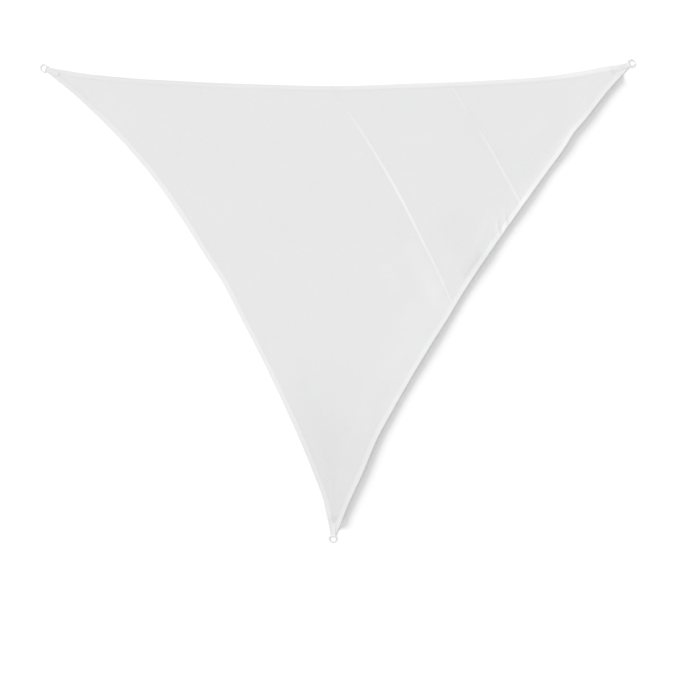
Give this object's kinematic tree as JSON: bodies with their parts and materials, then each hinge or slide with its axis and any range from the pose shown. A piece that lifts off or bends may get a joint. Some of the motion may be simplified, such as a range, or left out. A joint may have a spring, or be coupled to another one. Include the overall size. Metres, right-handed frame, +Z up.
{
  "type": "triangular shade sail",
  "caption": "Triangular shade sail of lapped white cloth panels with curved hemmed sides, and a webbing tab holding a steel D-ring at each corner, laid out flat.",
  "frame": {"origin": "on the ground, under the middle of the sail's outline", "axes": "+Z up from the ground, +X along the top side from the left ring to the right one, +Y away from the bottom corner"},
  "size_m": [3.5936, 2.9141, 0.0302],
  "materials": {
    "cloth": "matt white woven polyester",
    "webbing": "matt white woven webbing",
    "steel": "smooth stainless steel"
  },
  "bodies": {
    "root": {"panel_large": "cloth", "panel_middle": "cloth", "panel_corner": "cloth", "tab_left": "webbing", "tab_right": "webbing", "tab_bottom": "webbing", "ring_left": "steel", "ring_right": "steel", "ring_bottom": "steel"}
  },
  "joints": []
}
